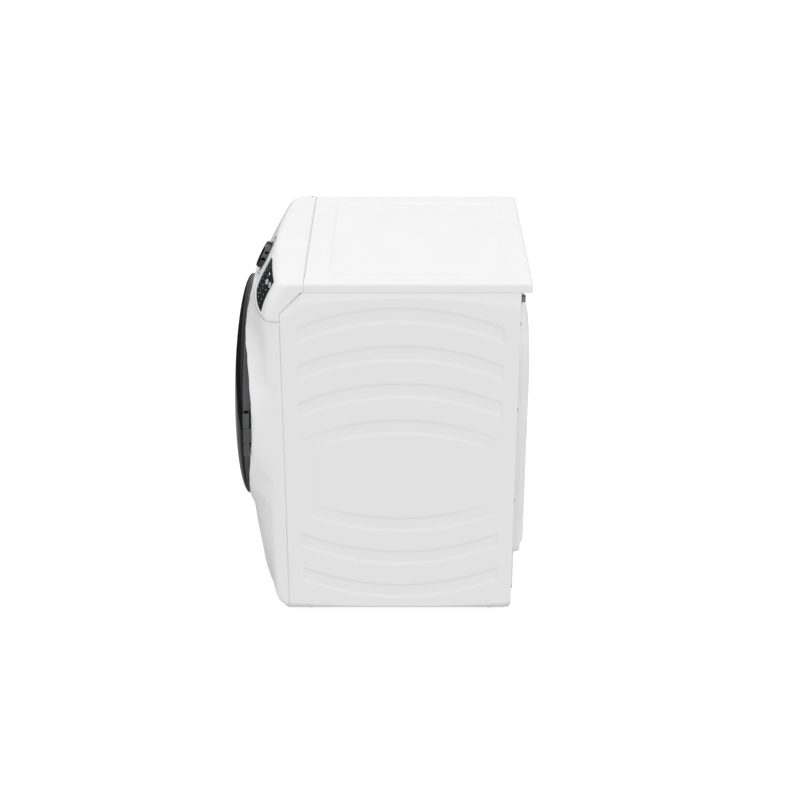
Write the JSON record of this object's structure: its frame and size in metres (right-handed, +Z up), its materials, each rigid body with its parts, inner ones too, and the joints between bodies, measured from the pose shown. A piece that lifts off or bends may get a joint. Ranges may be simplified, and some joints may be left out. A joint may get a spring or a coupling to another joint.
{
  "type": "clothes dryer",
  "caption": "Free-standing front-loading vented clothes dryer with a round side-hinged door, sloping control console, rotating drum and lift-out lint filter.",
  "frame": {"origin": "on the floor, under the middle of the overall box", "axes": "+X towards the viewer's right when facing the door, -Y out of the door side, +Z up"},
  "size_m": [0.686, 0.795, 0.983],
  "materials": {
    "white_enamel": "gloss white enamel",
    "white_moulding": "gloss white moulding",
    "rear_enamel": "satin white enamel",
    "zinc_steel": "zinc-plated steel",
    "drum_steel": "satin stainless steel",
    "display_black": "dark tinted window",
    "circuit_green": "circuit board",
    "black_plastic": "moulded black plastic",
    "felt_gray": "pressed felt",
    "nylon": "natural nylon",
    "motor_gray": "dull grey paint",
    "duct_white": "pale moulded plastic",
    "element_wire": "oxidised resistance rod",
    "clear_lens": "clear lens",
    "rubber_black": "black rubber",
    "door_dark_ring": "dark grey moulding",
    "door_dark_glass": "tinted gloss cover",
    "door_clear_glass": "clear toughened glass",
    "knob_graphite": "graphite metallic",
    "button_gray": "light grey caps",
    "filter_gray": "grey frame and screen"
  },
  "bodies": {
    "cabinet": {"base_pan": "zinc_steel", "left_side_panel": "white_enamel", "right_side_panel": "white_enamel", "top_panel": "white_enamel", "front_panel": "white_moulding", "control_console": "white_moulding", "display_window": "display_black", "control_board": "circuit_green", "knob_encoder": "black_plastic", "front_bulkhead": "zinc_steel", "rear_bulkhead": "zinc_steel", "rear_panel": "white_enamel", "rear_cover": "rear_enamel", "terminal_cover": "rear_enamel", "terminal_block": "black_plastic", "cord_gland": "black_plastic", "exhaust_duct": "zinc_steel", "front_drum_seal": "felt_gray", "rear_drum_seal": "felt_gray", "front_glides": "nylon", "roller_axles": "zinc_steel", "motor_housing": "motor_gray", "motor_cradle": "zinc_steel", "blower_housing": "duct_white", "lint_duct": "duct_white", "heater_box": "zinc_steel", "heating_element": "element_wire", "thermostats": "zinc_steel", "moisture_sensor_bars": "zinc_steel", "drum_lamp": "clear_lens", "hinge_bracket": "zinc_steel", "door_catch": "nylon", "door_switch": "black_plastic", "drive_belt": "rubber_black", "idler_spring": "zinc_steel", "cabinet_screws": "zinc_steel"},
    "door": {"door_ring": "door_dark_ring", "door_glass": "door_dark_glass", "door_liner": "duct_white", "door_bowl": "door_clear_glass", "door_gasket": "rubber_black", "hinge_arm": "zinc_steel", "door_strike": "zinc_steel"},
    "knob": {"control_knob": "knob_graphite", "encoder_shaft": "zinc_steel"},
    "start_button": {"start_button": "button_gray"},
    "power_button": {"power_button": "button_gray"},
    "drum": {"drum_shell": "drum_steel", "drum_baffles": "duct_white"},
    "left_roller": {"left_drum_roller": "rubber_black"},
    "right_roller": {"right_drum_roller": "rubber_black"},
    "motor_rotor": {"motor_shaft": "zinc_steel", "blower_wheel": "duct_white"},
    "idler_arm": {"idler_arm": "zinc_steel"},
    "idler_pulley": {"idler_pulley": "nylon"},
    "lint_filter": {"lint_filter": "filter_gray"},
    "front_left_foot": {"front_left_foot": "rubber_black"},
    "front_right_foot": {"front_right_foot": "rubber_black"},
    "rear_left_foot": {"rear_left_foot": "rubber_black"},
    "rear_right_foot": {"rear_right_foot": "rubber_black"}
  },
  "joints": [
    {"name": "door_hinge", "type": "hinge", "parent": "cabinet", "child": "door", "pos_m": [0.32, -0.34715, 0.54783], "axis": [0, 0.0175, 0.9998], "range_deg": [0, 150]},
    {"name": "knob_turn", "type": "hinge", "parent": "cabinet", "child": "knob", "pos_m": [0, -0.30394, 0.92797], "axis": [0, -0.8829, 0.4695], "continuous": true},
    {"name": "start_press", "type": "slide", "parent": "cabinet", "child": "start_button", "axis": [-0.0904, 0.8783, -0.4695], "range_m": [0, 0.0015], "stiffness_N_per_m": 800, "springref_m": -0.001},
    {"name": "power_press", "type": "slide", "parent": "cabinet", "child": "power_button", "axis": [-0.1102, 0.876, -0.4695], "range_m": [0, 0.0015], "stiffness_N_per_m": 800, "springref_m": -0.001},
    {"name": "drum_spin", "type": "hinge", "parent": "cabinet", "child": "drum", "pos_m": [0, 0, 0.548], "axis": [0, 1, 0], "continuous": true},
    {"name": "left_roller_spin", "type": "hinge", "parent": "cabinet", "child": "left_roller", "pos_m": [-0.2027, 0, 0.25851], "axis": [0, 1, 0], "continuous": true},
    {"name": "right_roller_spin", "type": "hinge", "parent": "cabinet", "child": "right_roller", "pos_m": [0.2027, 0, 0.25851], "axis": [0, 1, 0], "continuous": true},
    {"name": "motor_spin", "type": "hinge", "parent": "cabinet", "child": "motor_rotor", "pos_m": [0.12, 0, 0.125], "axis": [0, 1, 0], "continuous": true},
    {"name": "idler_swing", "type": "hinge", "parent": "cabinet", "child": "idler_arm", "pos_m": [0.036, 0, 0.078], "axis": [0, 1, 0], "range_deg": [0, 12], "stiffness_Nm_per_rad": 6, "springref_deg": -28.65},
    {"name": "idler_spin", "type": "hinge", "parent": "idler_arm", "child": "idler_pulley", "pos_m": [0, 0, 0.16], "axis": [0, 1, 0], "continuous": true},
    {"name": "lint_filter_lift", "type": "slide", "parent": "cabinet", "child": "lint_filter", "axis": [0, 0, 1], "range_m": [0, 0.2]},
    {"name": "front_left_foot_turn", "type": "hinge", "parent": "cabinet", "child": "front_left_foot", "pos_m": [-0.283, -0.193, 0], "axis": [0, 0, 1], "continuous": true},
    {"name": "front_right_foot_turn", "type": "hinge", "parent": "cabinet", "child": "front_right_foot", "pos_m": [0.283, -0.193, 0], "axis": [0, 0, 1], "continuous": true},
    {"name": "rear_left_foot_turn", "type": "hinge", "parent": "cabinet", "child": "rear_left_foot", "pos_m": [-0.283, 0.303, 0], "axis": [0, 0, 1], "continuous": true},
    {"name": "rear_right_foot_turn", "type": "hinge", "parent": "cabinet", "child": "rear_right_foot", "pos_m": [0.283, 0.303, 0], "axis": [0, 0, 1], "continuous": true}
  ],
  "couplings": [
    {"joint": "left_roller_spin", "follows": "drum_spin", "ratio": -8.5405},
    {"joint": "right_roller_spin", "follows": "drum_spin", "ratio": -8.5405},
    {"joint": "motor_spin", "follows": "drum_spin", "ratio": 35.111},
    {"joint": "idler_spin", "follows": "drum_spin", "ratio": 17.556}
  ]
}
